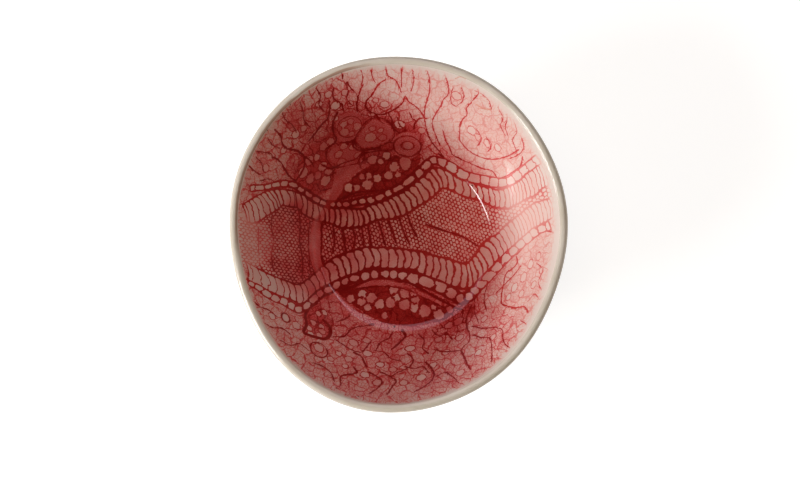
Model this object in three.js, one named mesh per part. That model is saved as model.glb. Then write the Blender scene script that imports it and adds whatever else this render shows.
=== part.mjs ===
// A hand-pressed stoneware ramekin.
//
// A potter rolls lace into a flat clay slab, presses the slab into a mould and sponges its
// cut edge round. A rolled ring of clay is luted under the base as a foot. The inside is
// stained and glazed, and the lip and the outside carry a clear glaze that stops short of
// the foot. The pot is never quite round: its outline swells and dips towards the lip,
// the lip rises and falls, and the mouth leans a little off the foot.
//
// Millimetres, +Z up. The origin is on the table, under the middle of the outer box.

import * as THREE from 'three';

// Driving dimensions.
const lipRadius = 62.5;          // mean radius over the glazed lip
const potHeight = 58;            // table to the mean top of the glazed lip
const floorFlatRadius = 31.5;    // flat part of the floor inside
const cornerRadius = 5;          // inside bend from the floor to the wall, in the clay
const wallSlope = 57;            // degrees from level, where the wall leaves the bend
const slabThickness = 5;         // clay at the floor
const lipThickness = 2.2;        // clay at the lip
const glazeThickness = 0.4;      // fired glaze, inside and out
const glazeEdge = 0.15;          // glaze where it stops above the foot
const glazeLineHeight = 6.5;     // table to the lower edge of the outer glaze

const footHeight = 3;            // table to the underside of the base
const footWidth = 5;             // radial width of the foot ring at its top
const footInset = 0.5;           // foot ring to the end of the flat underside
const footTaper = 0.6;           // how far each side of the ring draws in
const footRound = 0.7;           // worn edge at the bottom of the ring

const lipWave = 0.6;             // rise and fall of the lip
const lipWaveAngle = 35;         // degrees, where the lip stands highest
const mouthLean = 2.2;           // how far the mouth sits towards -X of the foot

// The outline of the lip swells and dips. Each row is a number of lobes round the pot, how
// far they swell the lip, and where the first of them points, in degrees.
const lipLobes = [
  { count: 2, swell: 1.88, angle: 90 },
  { count: 3, swell: 0.7, angle: 19 },
  { count: 4, swell: 0.14, angle: -27 },
  { count: 5, swell: 0.1, angle: 18 },
  { count: 6, swell: 0.14, angle: 3 },
  { count: 7, swell: 0.12, angle: 6 },
];

// How finely the curves are cut into flats.
const turnSegments = 64;
const bendSegments = 4;
const wallSegments = 6;
const lipSegments = 6;

// The pressed slab, as one curve through its inner clay surface.

const baseZ = footHeight;
const floorZ = baseZ + slabThickness;
const lipTopZ = potHeight - glazeThickness;
const lipCentreZ = lipTopZ - lipThickness / 2;
const lipCentreRadius = lipRadius - glazeThickness - lipThickness / 2;

function slopeVector(degrees) {
  const angle = THREE.MathUtils.degToRad(degrees);
  return new THREE.Vector2(Math.cos(angle), Math.sin(angle));
}

function sideways(direction) {
  return new THREE.Vector2(-direction.y, direction.x);
}

const wallStart = new THREE.Vector2(floorFlatRadius, floorZ + cornerRadius)
  .addScaledVector(sideways(slopeVector(wallSlope)), -cornerRadius);

// The wall leaves the bend at its slope and bows gently up to the lip, where the
// half-round lip takes over square to the wall.
function wallCurve() {
  const lipCentre = new THREE.Vector2(lipCentreRadius, lipCentreZ);
  const reach = lipCentre.clone().sub(wallStart).length() / 2;
  const bow = wallStart.clone().addScaledVector(slopeVector(wallSlope), reach);
  const endDirection = lipCentre.clone().sub(bow).normalize();
  const wallEnd = lipCentre.clone().addScaledVector(sideways(endDirection), lipThickness / 2);
  return new THREE.QuadraticBezierCurve(wallStart, bow, wallEnd);
}

// One station of the slab: its inner clay point, the direction into the pot, and the clay
// thickness there. The slab thins steadily from the floor to the lip.
function slabStations() {
  const wall = wallCurve();
  const stations = [
    { point: new THREE.Vector2(0, floorZ), into: new THREE.Vector2(0, 1), share: 0 },
  ];
  for (let i = 0; i <= bendSegments; i++) {
    const into = sideways(slopeVector(wallSlope * i / bendSegments));
    const point = new THREE.Vector2(floorFlatRadius, floorZ + cornerRadius)
      .addScaledVector(into, -cornerRadius);
    stations.push({ point, into, share: 0 });
  }
  for (let i = 1; i <= wallSegments; i++) {
    const share = i / wallSegments;
    stations.push({ point: wall.getPoint(share), into: sideways(wall.getTangent(share)), share });
  }
  for (const station of stations) {
    station.clay = THREE.MathUtils.lerp(slabThickness, lipThickness, station.share);
  }
  return stations;
}

const slab = slabStations();
const lipEnd = slab[slab.length - 1];

// The inside and the outside of the clay. The outside has one more station, on the line
// where its glaze stops.
const innerSurface = slab.map(({ point, into }) => ({ point, into }));
const outerSurface = withGlazeLine(slab.map(({ point, into, clay }) => (
  { point: point.clone().addScaledVector(into, -clay), into }
)));

function withGlazeLine(surface) {
  const above = surface.findIndex(({ point }) => point.y > glazeLineHeight);
  const [low, high] = [surface[above - 1], surface[above]];
  const share = (glazeLineHeight - low.point.y) / (high.point.y - low.point.y);
  const line = {
    point: low.point.clone().lerp(high.point, share),
    into: low.into.clone().lerp(high.into, share).normalize(),
  };
  return [...surface.slice(0, above), line, ...surface.slice(above)];
}

// A surface moved into the pot by a depth, or out of it by a negative one.
function coated(surface, depth) {
  return surface.map(({ point, into }) => point.clone().addScaledVector(into, depth));
}

// The half-round lip, from the inner wall over the top to the outer wall.
function lipArc(radius) {
  const centre = lipEnd.point.clone().addScaledVector(lipEnd.into, -lipThickness / 2);
  const arc = [];
  for (let i = 1; i < lipSegments; i++) {
    const spoke = lipEnd.into.clone().rotateAround(new THREE.Vector2(), -Math.PI * i / lipSegments);
    arc.push(centre.clone().addScaledVector(spoke, radius));
  }
  return arc;
}

// Hand-pressed unevenness. The foot and floor stay true, and it grows up the wall.

function lift(z) {
  return THREE.MathUtils.smoothstep(z, floorZ, potHeight);
}

function lobe(count, angle, turn) {
  return Math.cos(count * (turn - THREE.MathUtils.degToRad(angle)));
}

function press(geometry) {
  const position = geometry.getAttribute('position');
  const vertex = new THREE.Vector3();
  for (let i = 0; i < position.count; i++) {
    vertex.fromBufferAttribute(position, i);
    const grown = lift(vertex.z);
    const radius = Math.hypot(vertex.x, vertex.y);
    if (grown === 0 || radius === 0) continue;
    const turn = Math.atan2(vertex.y, vertex.x);
    const swelling = lipLobes.reduce(
      (sum, { count, swell, angle }) => sum + swell * lobe(count, angle, turn),
      0,
    );
    const grownRadius = radius + swelling * grown;
    position.setXYZ(
      i,
      grownRadius * Math.cos(turn) - mouthLean * grown,
      grownRadius * Math.sin(turn),
      vertex.z + lipWave * lobe(2, lipWaveAngle, turn) * grown,
    );
  }
  return geometry;
}

// A profile turned about the Z axis. Its four-sided facets are skewed once pressed, so each is
// split by height and not by the way its profile runs: where glaze lies on clay, the facets
// of both then split alike and the two faces meet all over.
function turned(profile) {
  const geometry = new THREE.LatheGeometry(profile, turnSegments);
  const index = geometry.getIndex();
  const edges = profile.length - 1;
  for (let facet = 0; facet < turnSegments * edges; facet++) {
    const edge = facet % edges;
    if (profile[edge + 1].y >= profile[edge].y) continue;
    const [a, b, d, c] = [0, 1, 2, 3].map((corner) => index.getX(6 * facet + corner));
    index.set([a, b, c, a, c, d], 6 * facet);
  }
  return geometry.rotateX(Math.PI / 2);
}

// Materials, as fired.

const stoneware = new THREE.MeshStandardMaterial({ color: 0xc9b49a, roughness: 0.85, metalness: 0 });
const redLaceGlaze = new THREE.MeshStandardMaterial({ color: 0xa9453f, roughness: 0.12, metalness: 0 });
const clearGlaze = new THREE.MeshStandardMaterial({ color: 0xd9cfc0, roughness: 0.15, metalness: 0 });

// The pieces.

function stonewareBody() {
  const profile = [
    ...coated(outerSurface, 0),
    ...lipArc(lipThickness / 2).reverse(),
    ...coated(innerSurface, 0).reverse(),
  ];
  return new THREE.Mesh(press(turned(profile)), stoneware);
}

// Glaze over the floor and wall, up to the start of the lip.
function laceGlazeLining() {
  const profile = [
    ...coated(innerSurface, 0),
    ...coated(innerSurface, glazeThickness).reverse(),
  ];
  return new THREE.Mesh(press(turned(profile)), redLaceGlaze);
}

// Glaze over the lip and down the outside, thinning where it stops above the foot.
function clearGlazeCoat() {
  const covered = outerSurface.filter(({ point }) => point.y >= glazeLineHeight);
  const face = coated(covered, -glazeThickness);
  face[0] = coated(covered, -glazeEdge)[0];
  const lipFace = lipArc(lipThickness / 2 + glazeThickness);
  const lipClay = lipArc(lipThickness / 2);
  const top = coated([lipEnd], glazeThickness);
  const loop = [
    ...face,
    ...lipFace.reverse(),
    ...top,
    lipEnd.point,
    ...lipClay,
    ...coated(covered, 0).reverse(),
    face[0],
  ];
  return new THREE.Mesh(press(turned(loop)), clearGlaze);
}

// A rolled ring of clay, drawn in a little to its worn lower edge.
function footRing() {
  const outer = floorFlatRadius - footInset;
  const inner = outer - footWidth;
  const shape = new THREE.Path();
  shape.moveTo(inner, footHeight);
  shape.lineTo(inner + footTaper, footRound);
  shape.quadraticCurveTo(inner + footTaper, 0, inner + footTaper + footRound, 0);
  shape.lineTo(outer - footTaper - footRound, 0);
  shape.quadraticCurveTo(outer - footTaper, 0, outer - footTaper, footRound);
  shape.lineTo(outer, footHeight);
  shape.lineTo(inner, footHeight);
  return new THREE.Mesh(turned(shape.getPoints(3)), stoneware);
}

// The assembly, moved so that the middle of its outer box is over the origin.

const ramekin = new THREE.Group();
const pieces = {
  stoneware_body: stonewareBody(),
  foot_ring: footRing(),
  lace_glaze_lining: laceGlazeLining(),
  clear_glaze_coat: clearGlazeCoat(),
};
for (const [name, piece] of Object.entries(pieces)) {
  piece.name = name;
  ramekin.add(piece);
}

const middle = new THREE.Box3().setFromObject(ramekin).getCenter(new THREE.Vector3());
for (const piece of ramekin.children) piece.position.set(-middle.x, -middle.y, 0);

export default ramekin;
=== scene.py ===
import math

import bpy
import numpy as np
from mathutils import Matrix, Vector
from mathutils.kdtree import KDTree


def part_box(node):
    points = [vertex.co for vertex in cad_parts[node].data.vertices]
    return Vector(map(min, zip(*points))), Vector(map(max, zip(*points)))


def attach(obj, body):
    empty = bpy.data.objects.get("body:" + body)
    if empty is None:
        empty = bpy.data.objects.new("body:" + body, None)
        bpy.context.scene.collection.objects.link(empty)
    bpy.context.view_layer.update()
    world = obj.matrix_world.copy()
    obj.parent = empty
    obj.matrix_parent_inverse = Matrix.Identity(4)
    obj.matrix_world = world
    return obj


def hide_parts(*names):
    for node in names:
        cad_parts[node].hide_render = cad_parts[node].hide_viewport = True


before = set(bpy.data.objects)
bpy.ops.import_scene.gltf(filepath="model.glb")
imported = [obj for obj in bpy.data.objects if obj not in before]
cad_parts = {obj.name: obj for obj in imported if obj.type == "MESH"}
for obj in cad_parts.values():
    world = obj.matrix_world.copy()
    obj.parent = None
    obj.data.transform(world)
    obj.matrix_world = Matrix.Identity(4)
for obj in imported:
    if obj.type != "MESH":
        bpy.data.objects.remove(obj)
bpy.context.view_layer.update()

# The view. The ramekin is looked at almost straight from above with a long lens, and the top
# of the picture is +Y. The picture is 800 by 486 pixels.
mm = 0.001
picture_width = 800
picture_height = 486
camera_distance = 700 * mm
camera_elevation = math.radians(85.0)
camera_aim = Vector((0.48, -3.7, 58.0)) * mm
camera_lens = 87.95
sensor_width = 36.0

camera = bpy.data.objects.new("camera", bpy.data.cameras.new("camera"))
camera.data.lens = camera_lens
camera.data.sensor_width = sensor_width
camera.data.clip_start = 0.01
back = Vector((0, -math.cos(camera_elevation), math.sin(camera_elevation)))
camera.location = camera_aim + back * camera_distance
camera.rotation_euler = back.to_track_quat("Z", "Y").to_euler()
bpy.context.scene.collection.objects.link(camera)
bpy.context.scene.camera = camera
bpy.context.view_layer.update()


# The pressed slab. A stoneware slab is pressed into a mould and its edge sponged round. It
# is 5 mm thick at the floor and 2.2 mm at the lip, and bare only under the pot, where the
# glaze stops. Every other coat and surface is laid out along it.
floor_level = 8.0
floor_flat_radius = 31.5
corner_radius = 5.0
wall_slope = math.radians(57)
slab_thickness = 5.0
lip_thickness = 2.2
glaze_thickness = 0.4
lip_radius = 62.5
pot_height = 58.0
arris = (138, 15, 0.11)
outer_fall = (45, 25, -0.04)
lip_centre = Vector((
    lip_radius - glaze_thickness - lip_thickness / 2,
    pot_height - glaze_thickness - lip_thickness / 2,
))
low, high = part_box("foot_ring")
foot_centre = (low + high) / 2


def sideways(direction):
    """A direction turned left by a quarter."""
    return Vector((-direction.y, direction.x))


def slab_stations(bend_steps, wall_steps):
    """Inner clay points (radius, height), the way into the pot there, and the clay's thickness."""
    slope = Vector((math.cos(wall_slope), math.sin(wall_slope)))
    bend_centre = Vector((floor_flat_radius, floor_level + corner_radius))
    stations = []
    for i in range(bend_steps + 1):
        angle = wall_slope * i / bend_steps
        into = Vector((-math.sin(angle), math.cos(angle)))
        stations.append((bend_centre - into * corner_radius, into, slab_thickness))
    start = stations[-1][0]
    bow = start + slope * (lip_centre - start).length / 2
    end = lip_centre + sideways((lip_centre - bow).normalized()) * lip_thickness / 2
    for i in range(1, wall_steps + 1):
        t = i / wall_steps
        point = start * (1 - t) ** 2 + bow * 2 * t * (1 - t) + end * t ** 2
        along = ((bow - start) * (1 - t) + (end - bow) * t).normalized()
        clay_there = slab_thickness + (lip_thickness - slab_thickness) * t
        stations.append((point, sideways(along), clay_there))
    return stations


def lip_arc(into, radius, steps):
    """Over the lip, from the inner wall to the outer wall, with a soft inner arris.

    The arris and the fall outside it are (direction in degrees from outwards, reach in
    degrees, swell as a share of the lip's radius).
    """
    arc = []
    for i in range(1, steps):
        spoke = Matrix.Rotation(-math.pi * i / steps, 2) @ into
        direction = math.degrees(math.atan2(spoke.y, spoke.x))
        swell = sum(amount * math.exp(-((direction - middle) / reach) ** 2)
                    for middle, reach, amount in (arris, outer_fall))
        arc.append(lip_centre + spoke * radius * (1 + swell))
    return arc


def measured(points, length=0.0):
    """Adds to each profile point its length along the profile."""
    result = []
    for i, (x, z) in enumerate(points):
        if i:
            length += math.dist((x, z), points[i - 1])
        result.append((x, z, length))
    return result


def add(tree, kind, inputs=(), **settings):
    """Adds a node, makes its settings, and links or sets its inputs."""
    made = tree.nodes.new(kind)
    for name, value in settings.items():
        setattr(made, name, value)
    for socket, value in dict(inputs).items():
        if isinstance(value, bpy.types.Node):
            value = value.outputs[0]
        if isinstance(value, bpy.types.NodeSocket):
            tree.links.new(value, made.inputs[socket])
        else:
            made.inputs[socket].default_value = value
    return made


def colour(code):
    """An sRGB hex colour as linear RGBA."""
    parts = [int(code[i:i + 2], 16) / 255 for i in (1, 3, 5)]
    return [p / 12.92 if p <= 0.04045 else ((p + 0.055) / 1.055) ** 2.4 for p in parts] + [1.0]


# Uneven pressing: the outline swells and dips towards the lip, which also rises and falls
# and leans to one side. Lobes are (count, swell in mm, direction in degrees).
lip_lobes = [(2, 1.88, 90), (3, 0.7, 19), (4, 0.14, -27), (5, 0.1, 18), (6, 0.14, 3), (7, 0.12, 6)]
lip_wave = 0.6
lip_wave_turn = math.radians(35)
mouth_lean = 2.2
round_segments = 256
on_axis_within = 0.01
weld_within = 0.002
eased = {"interpolation_type": "SMOOTHSTEP"}


def worked(tree, kind, value, *steps):
    """Takes a value through nodes of one kind. A step is an operation and its other inputs."""
    for operation, *others in steps:
        value = add(tree, kind, dict(enumerate([value, *others])), operation=operation)
    return value


def give_sockets(tree, side, wanted):
    """Gives a node group its inputs or outputs, by name: a kind, and perhaps a value."""
    for name, (kind, *value) in wanted.items():
        socket = tree.interface.new_socket(name, in_out=side, socket_type="NodeSocket" + kind)
        if value:
            socket.default_value = value[0]


def turning_tree():
    """A profile turned about the foot's axis and pressed out of round."""
    tree = bpy.data.node_groups.new("turned and pressed", "GeometryNodeTree")
    give_sockets(tree, "INPUT", {
        "Profile": ("Geometry",), "Floor Level": ("Float", floor_level * mm),
        "Pot Height": ("Float", pot_height * mm), "Mouth Lean": ("Float", mouth_lean * mm),
        "Lip Wave": ("Float", lip_wave * mm), "Segments": ("Int", round_segments),
        "Axis": ("Vector", (foot_centre.x, foot_centre.y, 0)), "Material": ("Material",),
    })
    give_sockets(tree, "OUTPUT", {"Geometry": ("Geometry",)})
    given = add(tree, "NodeGroupInput").outputs
    profile, segments = given["Profile"], given["Segments"]

    size = add(tree, "GeometryNodeAttributeDomainSize", {"Geometry": profile})
    count = size.outputs["Point Count"]
    columns = add(tree, "ShaderNodeMath", {0: segments, 1: 1.0}, operation="ADD")
    grid = add(tree, "GeometryNodeMeshGrid", {"Vertices X": columns, "Vertices Y": count})
    index = add(tree, "GeometryNodeInputIndex")
    station = add(tree, "ShaderNodeMath", {0: index, 1: count}, operation="MODULO")
    turn = worked(tree, "ShaderNodeMath", index, ("DIVIDE", count), ("FLOOR",),
                  ("DIVIDE", segments), ("MULTIPLY", 2 * math.pi))
    place = add(tree, "GeometryNodeInputPosition")
    length = add(tree, "GeometryNodeInputNamedAttribute", {"Name": "length"}, data_type="FLOAT")
    point, length = (
        add(tree, "GeometryNodeSampleIndex",
            {"Geometry": profile, "Value": value, "Index": station}, data_type=kind)
        for value, kind in ((place, "FLOAT_VECTOR"), (length, "FLOAT")))
    split = add(tree, "ShaderNodeSeparateXYZ", {0: point}).outputs

    grown = add(tree, "ShaderNodeMapRange",
                {"Value": split["Z"], "From Min": given["Floor Level"],
                 "From Max": given["Pot Height"]}, **eased)
    swell = 0.0
    for lobes, amount, direction in lip_lobes:
        swell = worked(tree, "ShaderNodeMath", turn,
                       ("MULTIPLY_ADD", lobes, -lobes * math.radians(direction)), ("COSINE",),
                       ("MULTIPLY_ADD", amount * mm, swell))
    off_axis = add(tree, "ShaderNodeMath", {0: split["X"], 1: on_axis_within * mm},
                   operation="GREATER_THAN")
    radius = worked(tree, "ShaderNodeMath", swell, ("MULTIPLY", off_axis),
                    ("MULTIPLY_ADD", grown, split["X"]))
    cosine, sine = (add(tree, "ShaderNodeMath", {0: turn}, operation=wave)
                    for wave in ("COSINE", "SINE"))
    lean = add(tree, "ShaderNodeMath", {0: grown, 1: given["Mouth Lean"]}, operation="MULTIPLY")
    across = worked(tree, "ShaderNodeMath", radius, ("MULTIPLY", cosine), ("SUBTRACT", lean))
    along = add(tree, "ShaderNodeMath", {0: radius, 1: sine}, operation="MULTIPLY")
    rise = worked(tree, "ShaderNodeMath", turn, ("MULTIPLY_ADD", 2.0, -2 * lip_wave_turn),
                  ("COSINE",), ("MULTIPLY", given["Lip Wave"]),
                  ("MULTIPLY_ADD", grown, split["Z"]))
    pressed = add(tree, "ShaderNodeCombineXYZ", {"X": across, "Y": along, "Z": rise})
    pressed = add(tree, "ShaderNodeVectorMath", {0: pressed, 1: given["Axis"]}, operation="ADD")

    flat = add(tree, "ShaderNodeCombineXYZ", {
        axis: add(tree, "ShaderNodeMath", {0: length, 1: wave}, operation="MULTIPLY")
        for axis, wave in (("X", cosine), ("Y", sine))})
    shape = add(tree, "GeometryNodeStoreNamedAttribute",
                {"Geometry": grid, "Name": "lace", "Value": flat},
                data_type="FLOAT_VECTOR", domain="POINT")
    for kind, inputs in (("SetPosition", {"Position": pressed}),
                         ("MergeByDistance", {"Distance": weld_within * mm}),
                         ("SetShadeSmooth", {}), ("RealizeInstances", {}),
                         ("SetMaterial", {"Material": given["Material"]})):
        shape = add(tree, "GeometryNode" + kind, {"Geometry": shape, **inputs})
    add(tree, "NodeGroupOutput", {"Geometry": shape})
    return tree


turned_and_pressed = turning_tree()


def turned(name, profile, segments, material):
    """A turned and pressed piece. Profile points are (radius, height, length along the face)."""
    line = bpy.data.meshes.new(name)
    line.from_pydata([(x * mm, 0, z * mm) for x, z, length in profile],
                     [(i, i + 1) for i in range(len(profile) - 1)], [])
    lengths = line.attributes.new("length", "FLOAT", "POINT")
    lengths.data.foreach_set("value", [length for x, z, length in profile])
    piece = bpy.data.objects.new(name, line)
    bpy.context.scene.collection.objects.link(piece)
    modifier = piece.modifiers.new("turned", "NODES")
    modifier.node_group = turned_and_pressed
    wanted = {"Segments": segments, "Material": material}
    for item in turned_and_pressed.interface.items_tree:
        if item.name in wanted and item.in_out == "INPUT":
            modifier[item.identifier] = wanted[item.name]
    bpy.context.view_layer.update()
    result = bpy.data.meshes.new_from_object(
        piece.evaluated_get(bpy.context.evaluated_depsgraph_get()))
    piece.modifiers.clear()
    piece.data = result
    result.name = name
    return piece


def fired(name, finish):
    """A fired surface: its material, node tree and shader. The finish is even all over it."""
    material = bpy.data.materials.new(name)
    material.use_nodes = True
    shader = material.node_tree.nodes["Principled BSDF"]
    for socket, value in finish.items():
        shader.inputs[socket].default_value = value
    return material, material.node_tree, shader


def bare_stoneware():
    """Bare stoneware, fired: a matte, sandy buff clay, faintly mottled, with fine grog."""
    material, tree, shader = fired("bare stoneware", {"Roughness": 0.85})
    place = add(tree, "ShaderNodeTexCoord").outputs["Object"]
    mottle = add(tree, "ShaderNodeTexNoise", {"Vector": place, "Scale": 180.0, "Detail": 6.0})
    tint = add(tree, "ShaderNodeValToRGB", {"Fac": mottle})
    for stop, code in zip(tint.color_ramp.elements, ("#A98F70", "#D2BC9C")):
        stop.color = colour(code)
    tree.links.new(tint.outputs[0], shader.inputs["Base Color"])
    grog = add(tree, "ShaderNodeTexVoronoi", {"Vector": place, "Scale": 1400.0})
    rough = add(tree, "ShaderNodeBump", {"Height": grog, "Distance": 0.05 * mm, "Strength": 0.6})
    tree.links.new(rough.outputs[0], shader.inputs["Normal"])
    return material


clay = bare_stoneware()
slab = slab_stations(bend_steps=12, wall_steps=40)
lip_into = slab[-1][1]
outer = [point - into * clay_there for point, into, clay_there in slab]
body_profile = [(0, floor_level - slab_thickness)] + [tuple(point) for point in outer]
clay_lip = lip_arc(lip_into, lip_thickness / 2, steps=12)
body_profile += [tuple(point) for point in reversed(clay_lip)]
body_profile += [tuple(point) for point, into, clay_there in reversed(slab)] + [(0, floor_level)]
body = turned("stoneware_body_fine", measured(body_profile), round_segments, clay)
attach(body, "root")
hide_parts("stoneware_body")


# The foot ring. A rolled ring of the same clay is luted under the base and wiped clean of
# glaze, and its lower edge is worn flat and round where the pot stands.
foot_height = 3.0
foot_width = 5.0
foot_inset = 0.5
foot_taper = 0.6
foot_round = 0.7


def foot_profile(steps):
    """The ring's outline, with both lower corners worn round."""
    outside = floor_flat_radius - foot_inset
    inside = outside - foot_width
    points = [(inside, foot_height)]
    for first_turn, centre in ((180, inside + foot_taper + foot_round),
                               (270, outside - foot_taper - foot_round)):
        for i in range(steps + 1):
            a = math.radians(first_turn + 90 * i / steps)
            points.append((centre + foot_round * math.cos(a), foot_round * (1 + math.sin(a))))
    return points + [(outside, foot_height), (inside, foot_height)]


foot = turned("foot_ring_fine", measured(foot_profile(steps=8)), round_segments, clay)
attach(foot, "root")
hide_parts("foot_ring")


# The lace glaze lining. Lace is rolled into the slab, red stain is rubbed into the imprint
# and wiped back, and a glossy clear glaze is poured over it. The stain is darkest in the
# thread marks and fades out to bare clay below the lip.
floor_rings = 42
lining_segments = 540
pool_reach = 3.9
least_step = 0.2


def glaze_face(bend_steps, wall_steps):
    """The glazed inner face from the middle of the floor to the lip, with its length.

    The glaze pools in the corner, in one soft curve that reaches some way along the floor
    and up the wall.
    """
    top = floor_level + glaze_thickness
    wall = [point + into * glaze_thickness
            for point, into, clay_there in slab_stations(1, wall_steps)[1:]]
    slope = Vector((math.cos(wall_slope), math.sin(wall_slope)))
    corner = wall[0] - slope * (wall[0].y - top) / slope.y
    start, end = corner - Vector((pool_reach, 0)), corner + slope * pool_reach
    points = [(start.x * i / floor_rings, top) for i in range(floor_rings)]
    for i in range(bend_steps):
        t = i / bend_steps
        points.append(tuple(start * (1 - t) ** 2 + corner * 2 * t * (1 - t) + end * t ** 2))
    points.append(tuple(end))
    points += [tuple(point) for point in wall if (point - end).dot(slope) > least_step]
    return measured(points)


inner_face = glaze_face(bend_steps=14, wall_steps=102)
face_length = inner_face[-1][2]
under_face = [(point.x, point.y, 0) for point, into, clay_there in slab_stations(6, 12)]
lining_profile = [(0, floor_level, 0)] + under_face + inner_face[::-1]

# Ladders of long open cells, read off the picture in pixels. A rung is the number of cells
# since the rung before it, the outer end of a cell and its inner end. Both ladders run from
# left to right, and the net lies between them.
upper_ladder = [
    (0, (242, 205), (247, 222)), (2, (250, 199), (257, 222)), (2, (258, 195), (268, 215)),
    (2, (266, 191), (277, 209)), (3, (281, 189), (285, 205)), (1, (290, 190), (292, 207)),
    (2, (296, 192), (298, 208)), (1, (303, 194), (303, 214)), (1, (308, 199), (308, 217)),
    (2, (319, 203), (321, 221)), (2, (330, 207), (330, 223)), (2, (341, 207), (342, 227)),
    (2, (353, 208), (355, 227)), (2, (361, 208), (366, 224)), (2, (371, 204), (379, 220)),
    (2, (383, 201), (392, 218)), (2, (393, 196), (403, 215)), (2, (405, 190), (415, 208)),
    (2, (414, 183), (427, 200)), (2, (426, 173), (437, 192)), (1, (431, 168), (441, 188)),
    (1, (438, 167), (444, 187)), (1, (447, 171), (450, 189)), (2, (464, 180), (464, 196)),
    (2, (477, 184), (478, 200)), (1, (483, 186), (485, 202)), (1, (489, 187), (491, 206)),
    (1, (494, 189), (496, 207)), (1, (500, 190), (501, 208)), (1, (504, 188), (507, 208)),
    (2, (511, 185), (514, 205)), (2, (517, 181), (521, 201)), (2, (522, 177), (528, 198)),
    (2, (529, 171), (536, 193)), (1, (533, 167), (540, 190)), (3, (541, 161), (549, 184)),
]
lower_ladder = [
    (0, (247, 279), (245, 261)), (2, (263, 288), (261, 270)), (2, (279, 295), (277, 277)),
    (2, (292, 300), (289, 282)), (1, (298, 303), (296, 284)), (2, (312, 299), (306, 280)),
    (2, (323, 291), (316, 271)), (2, (334, 283), (326, 262)), (1, (342, 278), (334, 257)),
    (2, (354, 274), (347, 252)), (2, (368, 268), (364, 247)), (2, (383, 267), (381, 247)),
    (2, (398, 268), (398, 248)), (2, (412, 270), (413, 250)), (2, (426, 276), (428, 253)),
    (2, (440, 283), (441, 257)), (2, (454, 287), (456, 261)), (2, (469, 288), (467, 263)),
    (1, (475, 285), (469, 261)), (1, (481, 280), (473, 257)), (1, (485, 274), (477, 252)),
    (1, (491, 267), (479, 247)), (1, (496, 260), (484, 242)), (1, (501, 257), (490, 237)),
    (1, (505, 254), (496, 234)), (1, (509, 250), (500, 230)), (1, (513, 246), (504, 226)),
    (2, (520, 239), (513, 219)), (2, (526, 234), (519, 214)), (2, (532, 229), (525, 209)),
    (2, (538, 225), (532, 204)), (2, (545, 221), (540, 201)), (2, (552, 217), (548, 198)),
]
ladder_bow = 0.35
# Rows of beads outside the ladders: the middle of each open cell, and the row's half width
# in pixels at some places along it.
upper_beads = [
    (250, 188), (260, 187), (268, 186), (276, 184), (285, 183), (293, 184), (300, 189),
    (308, 194), (316, 199), (324, 203), (332, 204), (339, 204), (346, 204), (354, 202),
    (362, 201), (370, 200), (379, 197), (388, 193), (397, 188), (409, 180), (418, 173),
    (426, 165), (433, 160), (441, 162), (451, 167), (462, 174), (474, 178), (484, 180),
    (494, 182), (502, 182), (510, 180), (517, 175), (523, 170), (530, 165), (538, 159),
]
upper_bead_half = ((250, 2.4), (300, 2.8), (400, 3.4), (450, 4.4), (520, 4.6))
lower_beads = [
    (243, 281), (250, 283), (258, 287), (266, 293), (275, 298), (283, 301), (291, 305),
    (299, 309), (306, 305), (313, 299), (320, 293), (328, 289), (336, 285), (345, 281),
    (354, 278), (364, 276), (374, 274), (385, 274), (393, 274), (402, 275), (412, 278),
    (425, 281), (440, 287), (451, 293), (460, 298), (468, 296), (474, 290), (480, 284),
    (488, 276), (497, 266), (506, 257), (513, 250), (520, 244), (527, 238), (534, 232),
    (541, 228), (549, 225),
]
lower_bead_half = ((243, 2.6), (300, 3.4), (350, 4.2), (410, 4.8), (440, 5.8), (500, 4.0))
# Almond-shaped leaves of solid work, dark with stain, clusters of closer work, and smooth
# paler ribbons, as closed outlines. The first ribbon runs along the bend at the left of the
# floor, and its paler band there is partly a ribbon of the lace and partly painted sheen where
# the bend catches light.
leaves = [
    [(333, 200), (343, 188), (352, 177), (366, 167), (382, 159), (400, 153), (417, 152),
     (420, 160), (411, 173), (397, 184), (379, 193), (357, 197)],
    [(336, 289), (352, 285), (372, 282), (394, 281), (416, 287), (436, 295), (454, 307),
     (445, 318), (424, 324), (400, 325), (378, 320), (362, 311), (348, 301)],
]
clusters = [
    [(292, 176), (300, 160), (308, 148), (322, 137), (334, 128), (334, 116), (350, 111),
     (364, 116), (384, 115), (400, 124), (420, 126), (424, 140), (417, 152), (396, 154),
     (376, 160), (352, 160), (340, 168), (333, 186), (318, 194), (302, 188)],
    [(304, 308), (316, 302), (327, 312), (332, 326), (327, 338), (315, 338), (303, 332)],
]
# The first ribbon, along the bend at the left of the floor, is partly painted sheen.
ribbons_and_bend_sheen = [
    [(358, 157), (361, 166), (353, 174), (345, 185), (338, 196), (330, 206), (323, 217),
     (320, 228), (320, 245), (321, 262), (328, 281), (318, 277), (311, 262), (309, 242),
     (312, 222), (322, 208), (328, 198), (332, 186), (336, 171), (345, 161)],
    [(356, 287), (366, 282), (380, 280), (394, 281), (408, 285), (421, 291), (434, 298),
     (446, 305), (436, 303), (422, 297), (408, 291), (394, 287), (380, 285), (368, 286)],
    [(393, 145), (396, 136), (403, 132), (411, 132), (418, 137), (420, 145), (418, 153),
     (411, 158), (403, 158), (396, 154)],
    [(336, 124), (339, 116), (347, 112), (356, 113), (362, 121), (361, 129), (354, 137),
     (344, 141), (338, 137)],
    [(357, 139), (364, 127), (372, 120), (382, 120), (390, 126), (392, 133), (386, 141),
     (372, 146), (361, 146)],
    [(328, 153), (334, 147), (346, 145), (358, 148), (361, 154), (358, 160), (346, 163),
     (336, 164), (330, 159)],
]
# Iron specks, and short rusty threads.
specks = [(267, 130), (290, 104), (394, 326), (287, 354), (336, 388), (358, 396), (472, 185),
          (341, 72), (300, 160)]
rusty = [[(476, 104), (481, 107), (486, 109), (491, 109)], [(455, 78), (460, 76), (466, 78)]]
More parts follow.
